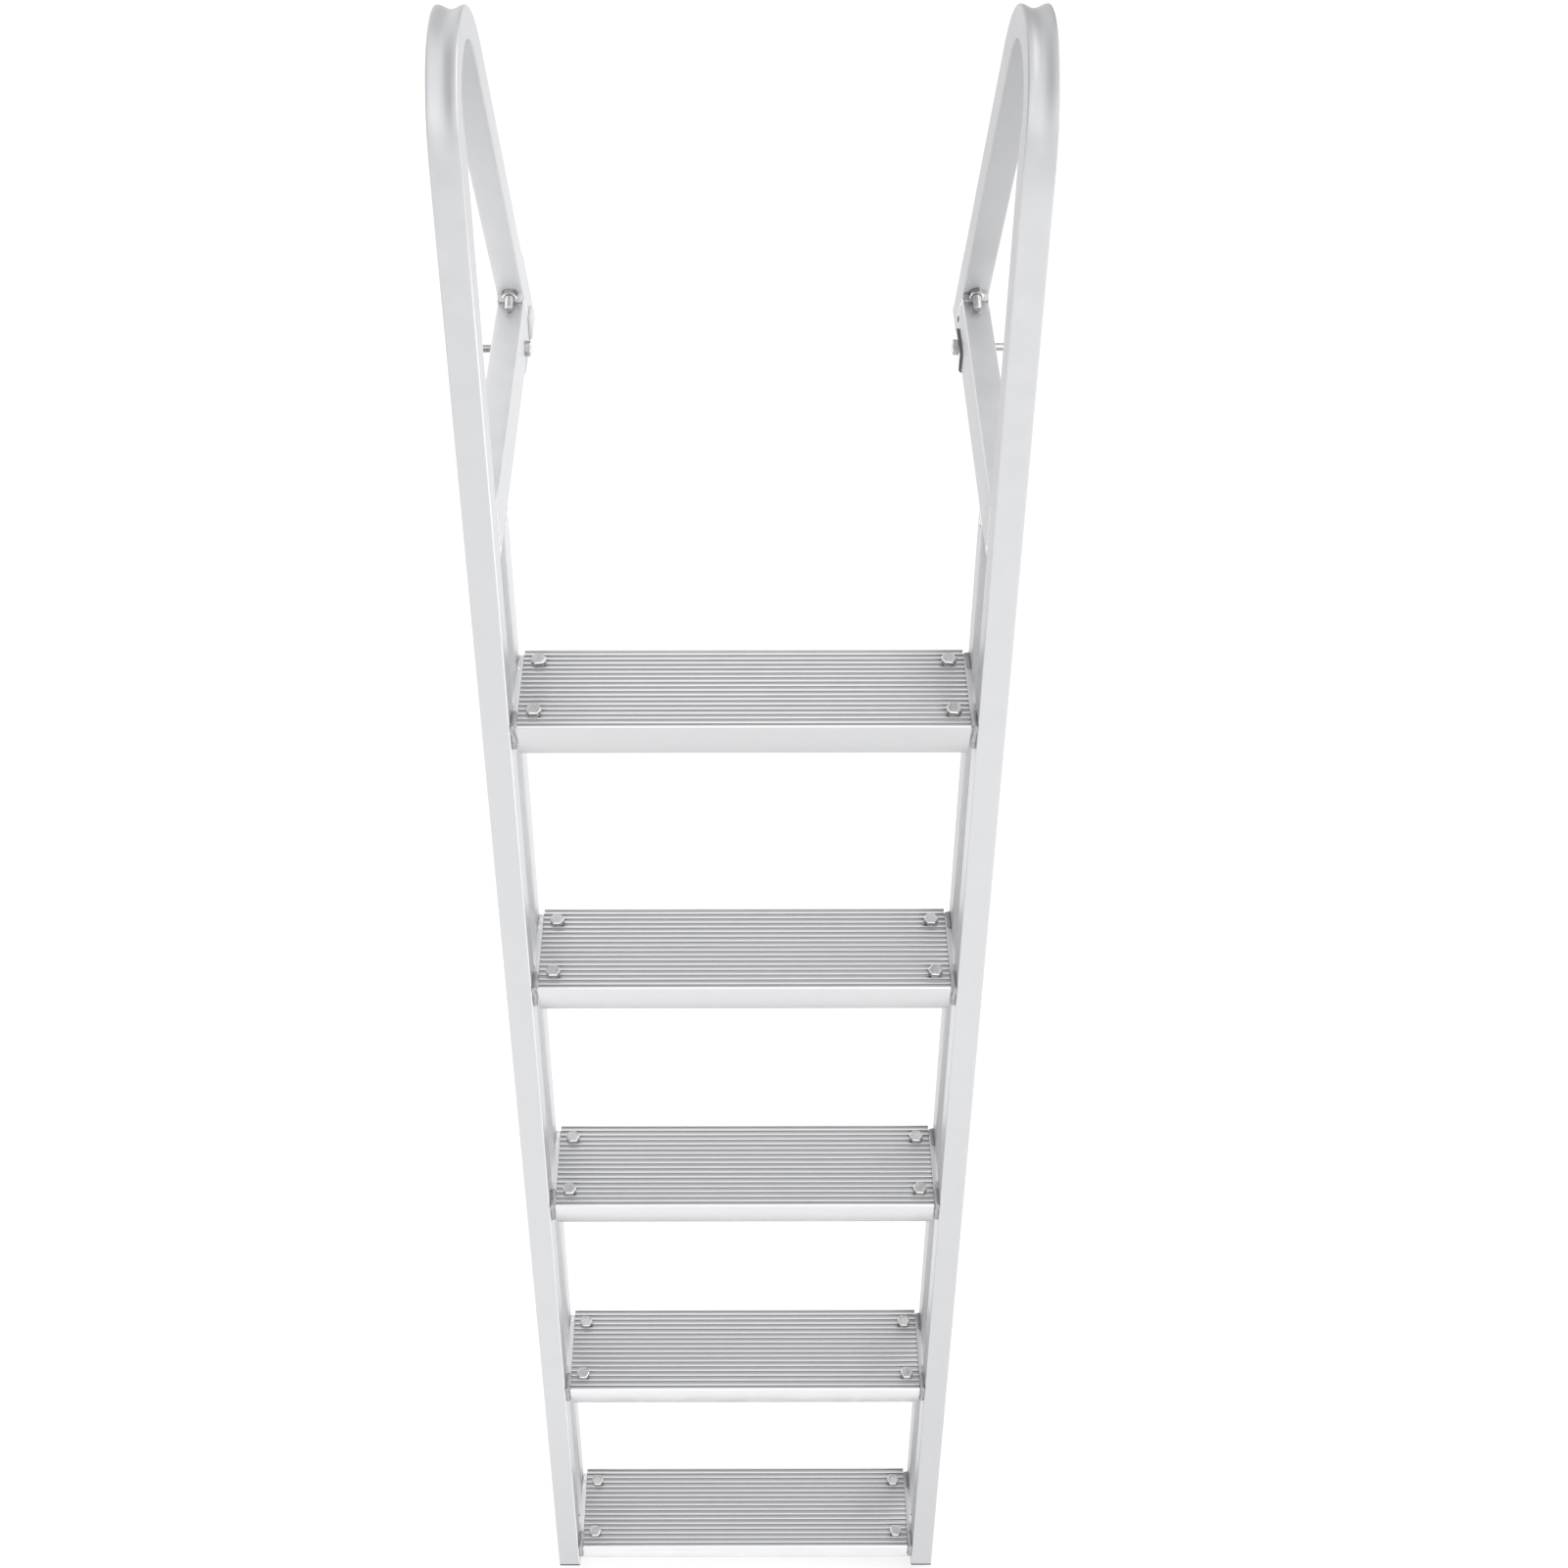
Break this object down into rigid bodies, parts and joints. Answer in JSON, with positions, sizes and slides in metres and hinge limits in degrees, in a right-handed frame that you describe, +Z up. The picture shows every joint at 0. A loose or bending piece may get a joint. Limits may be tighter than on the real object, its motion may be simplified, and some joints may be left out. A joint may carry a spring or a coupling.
{
  "type": "boat dock ladder",
  "caption": "Fixed boarding ladder for a dock or boat: leaning twin-tube rails, ribbed bolted treads, and handrail loops that come down to level arms with deck brackets.",
  "frame": {"origin": "middle of the underside of the left deck foot, where it stands on the dock", "axes": "+X across the ladder towards the right rail, +Y away from the climber over the dock, +Z up"},
  "size_m": [0.5016, 0.7183, 1.7828],
  "materials": {
    "tube": "fine bead-blasted, clear anodised",
    "tread": "ribbed extrusion, satin anodised",
    "tread_bracket": "satin, welded",
    "dock_bracket": "plain stainless sheet",
    "fastener": "plain stainless",
    "end_cap": "matte"
  },
  "bodies": {
    "root": {"left_handrail": "tube", "left_rear_rail": "tube", "left_deck_arm": "tube", "left_dock_bracket": "dock_bracket", "left_arm_bolt": "fastener", "left_leg_bolt": "fastener", "left_front_end_cap": "end_cap", "left_rear_end_cap": "end_cap", "left_tread_bracket_1": "tread_bracket", "left_tread_bracket_2": "tread_bracket", "left_tread_bracket_3": "tread_bracket", "left_tread_bracket_4": "tread_bracket", "left_tread_bracket_5": "tread_bracket", "right_handrail": "tube", "right_rear_rail": "tube", "right_deck_arm": "tube", "right_dock_bracket": "dock_bracket", "right_arm_bolt": "fastener", "right_leg_bolt": "fastener", "right_front_end_cap": "end_cap", "right_rear_end_cap": "end_cap", "right_tread_bracket_1": "tread_bracket", "right_tread_bracket_2": "tread_bracket", "right_tread_bracket_3": "tread_bracket", "right_tread_bracket_4": "tread_bracket", "right_tread_bracket_5": "tread_bracket", "tread_1": "tread", "tread_bolts_1": "fastener", "tread_2": "tread", "tread_bolts_2": "fastener", "tread_3": "tread", "tread_bolts_3": "fastener", "tread_4": "tread", "tread_bolts_4": "fastener", "tread_5": "tread", "tread_bolts_5": "fastener"}
  },
  "joints": []
}
